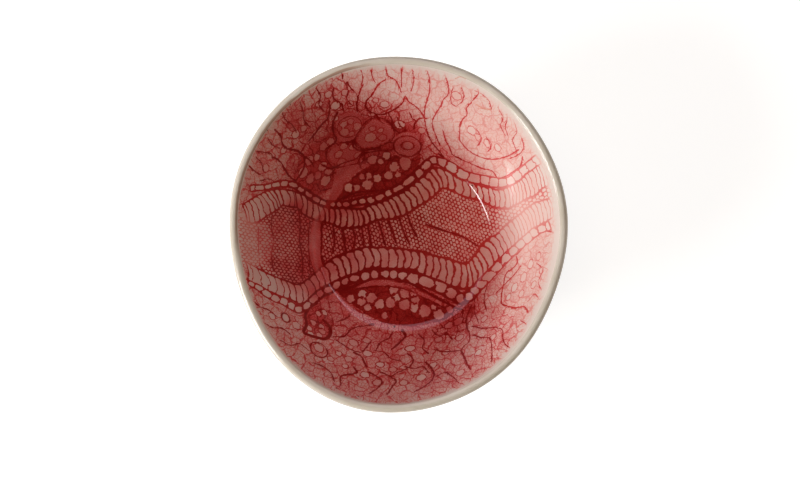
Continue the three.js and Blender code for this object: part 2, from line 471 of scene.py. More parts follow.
# Round eyelets open the work, as x, y and radius in mm. Each keeps some stain by its number.
eyelets = [
    (348, 187, 1.5), (356, 187, 1.1), (367, 184, 1.8), (362, 176, 1.1), (368, 176, 1.1),
    (377, 178, 1.3), (388, 175, 1.5), (395, 167, 2.0), (404, 163, 2.3), (397, 172, 1.3),
    (386, 155, 1.3), (372, 159, 1.7), (380, 161, 1.0), (362, 293, 1.4), (371, 297, 1.8),
    (379, 304, 1.7), (390, 302, 1.8), (393, 291, 1.5), (396, 297, 1.4), (404, 293, 1.9),
    (412, 293, 1.2), (404, 304, 1.9), (415, 300, 1.4), (414, 307, 1.6), (424, 311, 2.2),
    (434, 307, 1.1), (438, 303, 1.4), (444, 302, 0.9), (438, 314, 1.8), (449, 309, 1.1),
    (361, 301, 1.5), (367, 307, 1.2), (384, 315, 1.0), (350, 298, 1.3), (322, 166, 1.9),
    (328, 171, 1.7), (325, 180, 2.2), (317, 175, 1.8), (310, 178, 2.1), (303, 172, 2.3),
    (309, 160, 2.2), (316, 157, 1.4), (323, 146, 1.9), (330, 141, 1.6), (338, 154, 1.6),
    (341, 162, 1.7), (358, 155, 1.5), (343, 124, 1.4), (350, 121, 1.3), (344, 132, 1.9),
    (351, 133, 1.1), (357, 126, 1.7), (370, 137, 2.2), (372, 128, 1.2), (380, 130, 1.0),
    (382, 137, 1.4), (408, 145, 2.0), (399, 124, 2.0), (421, 130, 1.4), (343, 146, 1.4),
    (352, 147, 1.2), (313, 322, 1.3), (321, 326, 1.2), (322, 331, 1.5), (309, 328, 1.3),
    (310, 333, 1.3), (319, 335, 1.3), (318, 313, 1.2), (324, 312, 1.1), (458, 321, 2.0),
    (449, 325, 1.6), (459, 337, 1.6), (296, 325, 2.0), (285, 318, 2.2), (318, 347, 2.2),
    (530, 264, 2.0), (538, 256, 1.8), (523, 277, 2.2), (514, 287, 2.0), (541, 270, 1.5),
    (533, 284, 1.7), (508, 297, 1.4), (521, 293, 1.7), (471, 130, 2.0), (478, 137, 1.5),
    (487, 143, 1.8), (497, 147, 1.6), (456, 95, 2.2), (410, 348, 1.8), (420, 377, 2.1),
    (403, 382, 1.7), (432, 365, 1.7), (377, 382, 2.1), (460, 372, 2.0), (380, 364, 1.5),
    (392, 369, 1.5), (445, 352, 1.5), (438, 339, 1.4), (366, 340, 1.5), (272, 316, 1.8),
    (348, 359, 1.6), (338, 353, 1.2), (364, 374, 1.8), (353, 342, 1.8), (367, 353, 1.7),
    (330, 358, 1.3), (345, 366, 1.2), (295, 134, 1.8), (303, 128, 1.4), (283, 150, 1.4),
    (265, 168, 1.8), (328, 94, 1.7), (335, 105, 2.0), (345, 92, 1.6), (318, 104, 1.5),
    (335, 118, 1.1), (350, 103, 1.2), (384, 104, 1.7), (375, 100, 1.1), (492, 337, 1.5),
    (478, 352, 1.6), (484, 318, 1.4),
]
web_between_holes = 0.55
golden_share = 0.618
# Gimp threads outline the motifs. A thread is its width in mm and its points.
gimps = [
    (0.55, [(341, 71), (342, 78)]),
    (0.5, [(329, 101), (329, 110), (327, 118), (322, 123), (317, 130), (309, 140)]),
    (0.5, [(333, 88), (333, 98), (341, 104), (343, 110)]),
    (0.6, [(337, 112), (333, 121), (333, 133), (336, 140), (331, 145), (326, 148)]),
    (0.4, [(347, 82), (351, 88), (356, 93), (358, 98)]),
    (0.5, [(362, 85), (359, 92), (358, 98), (356, 104), (357, 111)]),
    (0.5, [(385, 79), (379, 83), (374, 90), (370, 96), (366, 101), (366, 107), (371, 112)]),
    (0.45, [(371, 112), (382, 114), (392, 110), (398, 106), (403, 101), (404, 96)]),
    (0.45, [(405, 96), (409, 102), (414, 105), (419, 110), (424, 117)]),
    (0.4, [(385, 65), (386, 70), (388, 76), (394, 79), (398, 85), (400, 91)]),
    (0.4, [(402, 65), (401, 75), (401, 86)]),
    (0.4, [(424, 66), (428, 73), (429, 83), (429, 92), (427, 100), (424, 108), (424, 117),
           (426, 128), (429, 138), (434, 145), (439, 151), (446, 161)]),
    (0.35, [(444, 68), (445, 76), (448, 85), (447, 94), (443, 99), (440, 106), (436, 112),
            (432, 120), (432, 126), (435, 134), (439, 144)]),
    (0.3, [(453, 88), (450, 96), (452, 104), (456, 106)]),
    (0.3, [(461, 88), (463, 94), (462, 101), (457, 105)]),
    (0.4, [(478, 87), (477, 93), (474, 98), (470, 103), (466, 110), (467, 113), (463, 118),
           (460, 124), (459, 132), (459, 139), (463, 145), (469, 151), (476, 155),
           (486, 158), (500, 158), (508, 155), (518, 149)]),
    (0.4, [(443, 131), (445, 139), (449, 147), (452, 154), (459, 158), (470, 163),
           (482, 168), (492, 171), (497, 178)]),
    (0.55, [(439, 154), (447, 161), (455, 167), (463, 172), (473, 175), (486, 178),
            (500, 178), (508, 175), (514, 171), (520, 165), (522, 157)]),
    (0.35, [(476, 129), (480, 135), (480, 141), (477, 145)]),
    (0.35, [(486, 137), (489, 142), (490, 148), (487, 151)]),
    (0.3, [(506, 113), (507, 120), (505, 126), (507, 134)]),
    (0.6, [(275, 129), (280, 136), (282, 143), (287, 148), (296, 150), (303, 155)]),
    (0.5, [(304, 156), (304, 165), (301, 172), (296, 179)]),
    (0.55, [(273, 157), (280, 161), (284, 168), (288, 174), (294, 180), (300, 186),
            (309, 191)]),
    (0.4, [(256, 157), (261, 163), (263, 170)]),
    (0.4, [(257, 151), (264, 152), (270, 153), (272, 158)]),
    (0.4, [(300, 101), (302, 110), (304, 119), (309, 127)]),
    (0.45, [(313, 166), (310, 160), (304, 156)]),
    (0.5, [(321, 164), (331, 168), (342, 163), (356, 158), (364, 150)]),
    (0.5, [(352, 141), (354, 147), (364, 150), (378, 147)]),
    (0.45, [(391, 121), (393, 128), (398, 132)]),
    (0.5, [(413, 128), (415, 122), (420, 118), (426, 118)]),
    (0.55, [(402, 330), (405, 335), (401, 340), (396, 345), (391, 349)]),
    (0.45, [(407, 353), (412, 358), (411, 364), (404, 369), (397, 372), (391, 376)]),
    (0.5, [(381, 372), (390, 376), (395, 380), (391, 387), (387, 394)]),
    (0.3, [(353, 140), (358, 131), (364, 123), (371, 118), (382, 118), (389, 122), (394, 131),
           (392, 139), (384, 144), (371, 148), (358, 147), (353, 140)]),
    (0.3, [(325, 153), (331, 145), (346, 142), (360, 147), (364, 152), (363, 160), (346, 165),
           (336, 167), (327, 160), (325, 153)]),
    (0.45, [(360, 167), (359, 158), (364, 153), (373, 151), (390, 150)]),
    (0.35, [(397, 117), (399, 124), (405, 130)]),
    (0.35, [(388, 113), (392, 120), (395, 127)]),
    (0.35, [(409, 112), (412, 118), (417, 121)]),
    (0.35, [(376, 114), (379, 120), (383, 123)]),
    (0.55, [(341, 290), (354, 285), (363, 281), (377, 278), (391, 279), (406, 282),
            (420, 288), (434, 296), (449, 304), (459, 309)]),
    (0.35, [(356, 289), (368, 287), (384, 286), (399, 288), (411, 291), (423, 297),
            (434, 303), (444, 308)]),
    (0.35, [(338, 200), (356, 192), (374, 190), (392, 186), (408, 177), (418, 165)]),
    (0.35, [(316, 88), (320, 96), (318, 104), (323, 110)]),
    (0.3, [(344, 83), (348, 90), (346, 98), (351, 104)]),
    (0.3, [(260, 180), (268, 178), (274, 181), (282, 179)]),
    (0.35, [(248, 166), (256, 172), (262, 176)]),
    (0.35, [(282, 112), (286, 120), (292, 124), (296, 131)]),
    (0.3, [(268, 138), (272, 144), (279, 148)]),
    (0.4, [(250, 300), (260, 306), (268, 309), (276, 316)]),
    (0.35, [(262, 322), (272, 327), (282, 328), (290, 334)]),
    (0.35, [(280, 340), (290, 345), (300, 344), (308, 350)]),
    (0.4, [(312, 362), (322, 366), (330, 372), (333, 380)]),
    (0.35, [(336, 340), (344, 345), (352, 350), (360, 352)]),
    (0.35, [(375, 350), (384, 352), (390, 358), (399, 360)]),
    (0.4, [(405, 366), (414, 368), (421, 366), (428, 372)]),
    (0.35, [(436, 376), (444, 372), (452, 376), (458, 382)]),
    (0.35, [(432, 330), (438, 335), (446, 334), (452, 339)]),
    (0.35, [(418, 334), (424, 340), (422, 348), (428, 353)]),
    (0.35, [(392, 332), (388, 338), (380, 342), (376, 349)]),
    (0.35, [(520, 320), (526, 326), (522, 334), (515, 340)]),
    (0.3, [(536, 262), (542, 270), (538, 280), (541, 290)]),
    (0.3, [(528, 300), (534, 294), (540, 298), (545, 292)]),
    (0.3, [(494, 270), (488, 282), (484, 296), (486, 310)]),
    (0.3, [(480, 284), (475, 296), (474, 310), (478, 322)]),
    (0.3, [(474, 90), (482, 94), (488, 100), (491, 108)]),
    (0.3, [(500, 100), (498, 108), (502, 116), (500, 126), (504, 134)]),
    (0.3, [(513, 120), (516, 130), (512, 140), (516, 150)]),
    (0.35, [(510, 158), (518, 154), (523, 146), (521, 138)]),
    (0.3, [(360, 70), (362, 78), (360, 86)]),
    (0.3, [(412, 70), (413, 80), (411, 90)]),
    (0.3, [(372, 66), (371, 74), (374, 82)]),
    (0.5, [(369, 372), (375, 375), (381, 381), (377, 388), (369, 393)]),
    (0.5, [(426, 362), (431, 368), (434, 374), (431, 380), (425, 385), (415, 391)]),
    (0.6, [(461, 351), (464, 357), (466, 363), (470, 369)]),
    (0.5, [(461, 350), (463, 346), (468, 342), (469, 334), (466, 326), (467, 314),
           (471, 305)]),
    (0.45, [(473, 334), (480, 337), (489, 338), (491, 345), (492, 353), (491, 361)]),
    (0.4, [(472, 326), (484, 328), (496, 327), (502, 330), (502, 337), (505, 343),
           (509, 348)]),
    (0.55, [(516, 256), (517, 262), (512, 268), (505, 274), (503, 283), (501, 294),
            (501, 303), (507, 306), (515, 307), (524, 307), (528, 312)]),
    (0.55, [(553, 232), (545, 231), (537, 234), (529, 239), (522, 248), (516, 254),
            (508, 260), (500, 267), (491, 275), (484, 284)]),
    (0.4, [(520, 266), (513, 275), (505, 283), (496, 292)]),
    (0.4, [(350, 329), (358, 326), (366, 325), (373, 324)]),
    (0.4, [(333, 336), (343, 336), (350, 329)]),
    (0.35, [(349, 315), (343, 319), (336, 321)]),
    (0.55, [(354, 352), (361, 356), (363, 361), (366, 366)]),
    (0.4, [(434, 349), (442, 351), (451, 351), (460, 350)]),
    (0.4, [(369, 342), (366, 347), (362, 351)]),
    (0.45, [(340, 384), (341, 376), (348, 374), (356, 372), (354, 367)]),
    (1.1, [(316, 302), (308, 308), (305, 315), (306, 323), (303, 331)]),
    (1.3, [(323, 320), (329, 326), (330, 333), (325, 338), (317, 337), (304, 333)]),
    (0.5, [(342, 228), (344, 238), (346, 250)]),
    (0.35, [(333, 225), (334, 236), (333, 252)]),
    (0.35, [(352, 228), (354, 237), (353, 248)]),
    (0.35, [(361, 226), (363, 236), (363, 246)]),
    (0.45, [(378, 222), (382, 232), (385, 244)]),
    (0.5, [(368, 226), (369, 238), (371, 250)]),
    (0.4, [(387, 218), (391, 230), (396, 242)]),
    (0.4, [(398, 216), (402, 228), (409, 243)]),
    (0.4, [(406, 212), (410, 224), (416, 236)]),
    (0.35, [(272, 212), (271, 225), (273, 240), (271, 255), (273, 270)]),
    (0.4, [(298, 210), (300, 225), (299, 240), (302, 258), (302, 278)]),
    (0.35, [(258, 228), (258, 245), (259, 262), (263, 274)]),
    (0.4, [(309, 222), (308, 240), (309, 258), (310, 272)]),
    (0.45, [(322, 204), (321, 222), (321, 240), (321, 258), (326, 272), (331, 284)]),
    (0.45, [(427, 224), (437, 228), (447, 231), (458, 235), (469, 240), (478, 246)]),
]
# Rings of thread, as centre, radius in mm and thread width.
rings = [
    ((349, 126), 5.8, 0.3), ((407, 145), 5.6, 0.45),
    ((407, 145), 2.5, 0.3), ((318, 349), 4.6, 0.4), ((285, 317), 2.6, 0.4),
]
# How far from a thread it is still stored, and how finely threads, rings and bands are read:
# threads in mm, bands in cells along them and in half widths across them. A place in a band
# lies within band_slack of a reading, and past clear_of_band mm it lies off the band.
thread_reach = 1.2
thread_layers = 4
thread_step = 0.15
ring_steps = 25
band_step = 0.125
band_samples = 25
band_reach = 1.5
band_slack = 0.1
clear_of_band = 0.4
# Where the rubbed stain is strong: (x, y, reach in pixels, wash in the cells, ink in the
# thread marks, ink in the loose ground). Below the lip it stops, as (degrees, mm to the
# first ink, mm to the first wash, mm of fading).
stain_pools = [
    (345, 225, 45, 0.50, 1.02, 0.7), (400, 235, 40, 0.30, 0.92, 0.6),
    (455, 230, 40, 0.28, 0.78, 0.6), (375, 175, 40, 0.33, 1.00, 0.7),
    (400, 300, 40, 0.34, 1.00, 0.7), (400, 318, 14, 0.36, 0.88, 0.7),
    (340, 180, 20, 0.30, 0.95, 0.5), (320, 160, 30, 0.36, 0.95, 0.9),
    (268, 165, 30, 0.14, 0.84, 0.66), (248, 170, 12, 0.05, 0.74, 0.5),
    (300, 118, 30, 0.24, 0.95, 0.76), (302, 96, 14, 0.10, 0.82, 0.6),
    (272, 128, 12, 0.05, 0.76, 0.5), (330, 90, 20, 0.18, 0.88, 0.70),
    (370, 125, 30, 0.28, 1.02, 0.85), (385, 80, 30, 0.07, 0.62, 0.5),
    (450, 95, 40, 0.09, 0.56, 0.5), (510, 140, 40, 0.10, 0.54, 0.5),
    (530, 180, 20, 0.10, 0.48, 0.5), (522, 212, 28, 0.12, 0.30, 0.4),
    (505, 224, 12, 0.14, 0.38, 0.4), (540, 238, 12, 0.10, 0.50, 0.5),
    (530, 285, 40, 0.08, 0.52, 0.6), (490, 330, 35, 0.12, 0.76, 0.74),
    (455, 320, 18, 0.48, 1.04, 0.95), (395, 365, 40, 0.20, 0.92, 0.70),
    (395, 396, 25, 0.13, 0.84, 0.64), (315, 350, 35, 0.10, 0.88, 0.66),
    (318, 322, 14, 0.34, 1.00, 0.9), (270, 315, 25, 0.07, 0.84, 0.62),
    (258, 330, 14, 0.00, 0.72, 0.5), (248, 240, 14, 0.20, 0.44, 0.45),
    (262, 240, 10, 0.26, 0.58, 0.5), (286, 240, 14, 0.32, 0.84, 0.5),
    (314, 240, 12, 0.31, 0.72, 0.5),
]
stain_edge = [
    (-180, 0.0, 0.0, 1.5), (-150, 0.0, 0.0, 2), (-120, 0.0, 0.2, 2.5), (-90, 0.0, 0.4, 2),
    (-45, 1.0, 2.0, 5), (0, 2.0, 3.0, 8), (45, 0.5, 1.5, 8), (90, 0.0, 0.5, 5),
    (110, 0.0, 0.0, 2), (150, 0.0, 0.0, 1.2), (180, 0.0, 0.0, 1.5),
]
wash_fades_more = 5
floor_pixel = 0.39
far_share = 1e-4


def in_picture(points):
    """Pixels of the picture in which points are seen."""
    local = (points - np.array(camera.location)) @ np.array(camera.rotation_euler.to_matrix())
    scale = camera_lens / sensor_width * picture_width
    x = picture_width / 2 - scale * local[:, 0] / local[:, 2]
    y = picture_height / 2 + scale * local[:, 1] / local[:, 2]
    return np.column_stack((x, y)) - 0.5


def tree_of(points):
    """A search tree over flat points."""
    tree = KDTree(len(points))
    for i, (x, y) in enumerate(points):
        tree.insert((x, y, 0), i)
    tree.balance()
    return tree


def vertex_values(mesh, name):
    """The position of each vertex, or a stored vector by name."""
    values = np.empty(len(mesh.vertices) * 3, np.float32)
    if name == "position":
        mesh.vertices.foreach_get("co", values)
    else:
        mesh.attributes[name].data.foreach_get("vector", values)
    return values.reshape(-1, 3).astype(float)


lining = turned("lace_glaze_lining_fine", lining_profile, lining_segments, None)
lining_points = vertex_values(lining.data, "position")
seen_places = vertex_values(lining.data, "lace")[:, :2]
upper_side = np.hypot(*seen_places.T) > 0.1
seen_places = seen_places[upper_side]
sight = tree_of(in_picture(lining_points[upper_side]))


def on_lace(pixels):
    """Carries pixels of the picture onto the flat lace, in mm from the middle of the floor.

    A pixel lands between the three vertices that are seen nearest to it.
    """
    carried = []
    for x, y in pixels:
        near = sight.find_n((x, y, 0), 3)
        shares = np.array([1 / (away + 0.01) for place, i, away in near])
        carried.append(shares @ seen_places[[i for place, i, away in near]] / shares.sum())
    return np.array(carried)


def smooth(knots, points, steps):
    """A smooth curve through points at knots, read at steps."""
    slopes = np.gradient(points, knots, axis=0)
    i = np.clip(np.searchsorted(knots, steps, side="right") - 1, 0, len(knots) - 2)
    gap = (knots[i + 1] - knots[i])[:, None]
    t = (steps - knots[i])[:, None] / gap
    rise = t * t * (3 - 2 * t)
    bend = gap * (t * (1 - t) ** 2 * slopes[i] - t * t * (1 - t) * slopes[i + 1])
    return points[i] * (1 - rise) + points[i + 1] * rise + bend


def ladder_rails(rungs):
    """Cell numbers and the two rails of a ladder."""
    knots = np.cumsum([cells for cells, outer_end, inner_end in rungs]).astype(float)
    return knots, on_lace([rung[1] for rung in rungs]), on_lace([rung[2] for rung in rungs])


def bead_rails(middles, halves):
    """Bead numbers and the two rails of a row of beads."""
    line = np.array(middles, float)
    heading = np.gradient(line, axis=0)
    side = np.column_stack((heading[:, 1], -heading[:, 0]))
    half = np.interp(line[:, 0], *np.array(halves, float).T)
    side *= (half / np.linalg.norm(heading, axis=1))[:, None]
    return np.arange(len(middles), dtype=float), on_lace(line + side), on_lace(line - side)


def band(places, rails, bow):
    """Cell number, mm past the cell's end, cell width and mm inside the band's inner rail."""
    knots, outer_rail, inner_rail = rails
    steps = np.arange(knots[0], knots[-1] + 0.01, band_step)
    outer_rail, inner_rail = (smooth(knots, rail, steps) for rail in (outer_rail, inner_rail))
    middle, half = (outer_rail + inner_rail) / 2, (outer_rail - inner_rail) / 2
    along = np.gradient(middle, steps, axis=0)
    across = np.linspace(-band_reach, band_reach, band_samples)
    bowed = bow * (1 - across ** 2)
    grid = (middle[:, None] + half[:, None] * across[:, None]
            + along[:, None] * bowed[:, None])
    by_step = np.gradient(grid, steps, axis=0).reshape(-1, 2)
    by_across = np.gradient(grid, across, axis=1).reshape(-1, 2)
    samples = grid.reshape(-1, 2)
    nearest = tree_of(samples)
    found = [nearest.find((x, y, 0)) for x, y in places]
    i = np.array([index for place, index, away in found])
    away = np.array([distance for place, index, distance in found])
    offset = places - samples[i]
    area = by_step[i, 0] * by_across[i, 1] - by_step[i, 1] * by_across[i, 0]
    more = (offset[:, 0] * by_across[i, 1] - offset[:, 1] * by_across[i, 0]) / area
    out = (by_step[i, 0] * offset[:, 1] - by_step[i, 1] * offset[:, 0]) / area
    row = i // len(across)
    cell = steps[row] + np.clip(more, -band_slack, band_slack)
    outwards = across[i % len(across)] + np.clip(out, -band_slack, band_slack)
    reach = np.linalg.norm(half, axis=1)
    width = np.abs(along[:, 0] * half[:, 1] - along[:, 1] * half[:, 0]) / reach
    beyond = np.maximum(away - clear_of_band, 0)
    past_end = (np.abs(outwards) - 1) * reach[row] + beyond
    last = (row == 0) | (row == len(steps) - 1)
    past_end = np.where(last, np.maximum(past_end, beyond), past_end)
    inside = -(outwards + 1) * reach[row] - np.sign(outwards) * beyond
    return cell, past_end, width[row], inside


def within(places, outline):
    """Millimetres inside a closed outline, negative outside."""
    corners = on_lace(outline)
    looped = np.vstack((corners[-1:], corners, corners[:2]))
    knots = np.arange(len(looped), dtype=float)
    edge = smooth(knots, looped, np.arange(1, len(corners) + 0.99, 0.2))
    x, y = places[:, :1], places[:, 1:]
    ax, ay = edge.T
    bx, by = np.roll(edge, -1, axis=0).T
    crossing = (ay > y) != (by > y)
    reach = ax + (y - ay) * (bx - ax) / np.where(by == ay, 1, by - ay)
    inside = (crossing & (x < reach)).sum(axis=1) % 2 == 1
    away = np.sqrt(((x - ax) ** 2 + (y - ay) ** 2).min(axis=1))
    return np.where(inside, away, -away)


def drawn(points):
    """A smooth line through points on the lace, read at even steps."""
    knots = np.concatenate(([0], np.cumsum(np.linalg.norm(np.diff(points, axis=0), axis=1))))
    return smooth(knots, points, np.arange(0, knots[-1], thread_step))


def threads(places):
    """Signed mm from the nearest thread, how near it is, and its width, in a few layers.

    Threads that come near each other lie in different layers, so that the sign never flips
    where it shows.
    """
    layers = [np.tile((thread_reach, 0.0, 0.4), (len(places), 1)) for i in range(thread_layers)]
    lines = [(width, on_lace(points)) for width, points in gimps]
    for centre, radius, width in rings:
        turn = np.linspace(0, 2 * math.pi, ring_steps)
        circle = np.column_stack((np.cos(turn), np.sin(turn))) * radius
        lines.append((width, on_lace([centre])[0] + circle))
    for width, points in lines:
        path = drawn(points)
        lowest, highest = path.min(axis=0) - thread_reach, path.max(axis=0) + thread_reach
        near = np.flatnonzero(((places > lowest) & (places < highest)).all(axis=1))
        offsets = places[near, None] - path
        away = np.linalg.norm(offsets, axis=2)
        i = away.argmin(axis=1)
        away = away[np.arange(len(near)), i]
        heading = np.gradient(path, axis=0)[i]
        offset = offsets[np.arange(len(near)), i]
        side = np.sign(heading[:, 0] * offset[:, 1] - heading[:, 1] * offset[:, 0])
        entry = np.column_stack((side * away, 1 - away / thread_reach, np.full(len(near), width)))
        close = away < thread_reach
        touched, entry = near[close], entry[close]
        for layer in layers:
            if not layer[touched, 1].any():
                break
        stronger = entry[:, 1] > layer[touched, 1]
        layer[touched[stronger]] = entry[stronger]
    return layers


def stain(places):
    """Wash, ink and loose ink of the stain at lace places."""
    centres = on_lace([pool[:2] for pool in stain_pools])
    weights = []
    for centre, pool in zip(centres, stain_pools):
        away = np.linalg.norm(places - centre, axis=1)
        weights.append(np.exp(-(away / (pool[2] * floor_pixel)) ** 2)
                       + far_share / (1 + away ** 2))
    weights = np.array(weights)
    strengths = np.array([pool[3:] for pool in stain_pools])
    return strengths.T @ weights / weights.sum(axis=0)


def fade(places):
    """How far the ink and the wash have faded in below the lip: 0 is none and 1 is all."""
    turn = np.degrees(np.arctan2(places[:, 1], places[:, 0]))
    degrees, *stops, fading = np.array(stain_edge, float).T
    below = face_length - np.hypot(*places.T)
    fading = np.interp(turn, degrees, fading)
    return [(below - np.interp(turn, degrees, stop)) / (fading + more)
            for stop, more in zip(stops, (0, wash_fades_more))]


def nearest_of(places, points):
    """Millimetres to the nearest of some points."""
    return np.min([np.linalg.norm(places - point, axis=1) for point in points], axis=0)


def press_lace(mesh):
    """Stores on a mesh the fields from which its material draws the lace."""
    places = vertex_values(mesh, "lace")[:, :2]
    upper = band(places, ladder_rails(upper_ladder), ladder_bow)
    lower = band(places, ladder_rails(lower_ladder), ladder_bow)
    leaf, cluster, ribbon_and_sheen = (np.max([within(places, outline) for outline in outlines], axis=0)
                             for outlines in (leaves, clusters, ribbons_and_bend_sheen))
    holes = on_lace([eyelet[:2] for eyelet in eyelets])
    away = np.linalg.norm(places[:, None] - holes, axis=2) - [eyelet[2] for eyelet in eyelets]
    nearest = np.argsort(away, axis=1)[:, :2]
    first, second = np.take_along_axis(away, nearest, axis=1).T
    hole = np.maximum(first, web_between_holes - (second - first) / 2)
    fields = {
        "upper ladder": upper[:3], "lower ladder": lower[:3],
        "upper beads": band(places, bead_rails(upper_beads, upper_bead_half), 0.0)[:3],
        "lower beads": band(places, bead_rails(lower_beads, lower_bead_half), 0.0)[:3],
        "ground": (np.minimum(upper[3], lower[3]), leaf, ribbon_and_sheen),
        "eyelets": (hole, cluster, nearest[:, 0] * golden_share % 1),
        "specks": (nearest_of(places, on_lace(specks)),
                   nearest_of(places, np.vstack([drawn(on_lace(thread)) for thread in rusty]))),
        "stain": stain(places), "fade": fade(places),
    }
    for i, layer in enumerate(threads(places)):
        fields[f"threads {i}"] = layer.T
    for name, field in fields.items():
        store = mesh.attributes.new(name, "FLOAT_VECTOR", "POINT")
        values = np.zeros((len(places), 3), np.float32)
        values[:, :len(field)] = np.column_stack(field)
        store.data.foreach_set("vector", values.ravel())


press_lace(lining.data)


def cells_group():
    """Rounded pale cells in a row along a band, with dark thread round them."""
    tree = bpy.data.node_groups.new("cells in a row", "ShaderNodeTree")
    give_sockets(tree, "INPUT", {"Band": ("Vector",), "Thread": ("Float",), "Corner": ("Float",)})
    give_sockets(tree, "OUTPUT", {"Cell": ("Float",), "Row": ("Float",)})
    given = add(tree, "NodeGroupInput").outputs
    split = add(tree, "ShaderNodeSeparateXYZ", {0: given["Band"]}).outputs
    past, width = split["Y"], split["Z"]
    number = add(tree, "ShaderNodeMath", {0: split["X"], 1: 0.5}, operation="ADD")
    whole = add(tree, "ShaderNodeMath", {0: number}, operation="FLOOR")
    chance = add(tree, "ShaderNodeTexWhiteNoise", {"W": whole}, noise_dimensions="1D")
    chance = chance.outputs["Value"]
    part = worked(tree, "ShaderNodeMath", number, ("SUBTRACT", whole), ("SUBTRACT", 0.5),
                  ("ABSOLUTE",), ("MULTIPLY", width))
    half_thread = worked(tree, "ShaderNodeMath", chance, ("MULTIPLY_ADD", 0.5, 0.75),
                         ("MULTIPLY", given["Thread"]), ("MULTIPLY", 0.5))
    half = worked(tree, "ShaderNodeMath", width, ("MULTIPLY", 0.5), ("SUBTRACT", half_thread))
    corner = add(tree, "ShaderNodeMath", {0: half, 1: given["Corner"]}, operation="MINIMUM")
    along = worked(tree, "ShaderNodeMath", part, ("SUBTRACT", half), ("ADD", corner))
    over = worked(tree, "ShaderNodeMath", past, ("ADD", half_thread), ("ADD", corner))
    outside = add(tree, "ShaderNodeCombineXYZ", {
        axis: add(tree, "ShaderNodeMath", {0: amount, 1: 0.0}, operation="MAXIMUM")
        for axis, amount in (("X", along), ("Y", over))})
    outside = add(tree, "ShaderNodeVectorMath", {0: outside}, operation="LENGTH")
    edge = worked(tree, "ShaderNodeMath", along, ("MAXIMUM", over), ("MINIMUM", 0.0),
                  ("ADD", outside.outputs["Value"]), ("SUBTRACT", corner))
    paleness = worked(tree, "ShaderNodeMath", chance, ("MULTIPLY_ADD", 0.12, 0.88))
    cell = add(tree, "ShaderNodeMapRange",
               {"Value": edge, "From Min": 0.12, "From Max": -0.12, "To Max": paleness}, **eased)
    row = add(tree, "ShaderNodeMapRange",
              {"Value": past, "From Min": given["Thread"], "From Max": half_thread}, **eased)
    add(tree, "NodeGroupOutput", {"Cell": cell, "Row": row})
    return tree


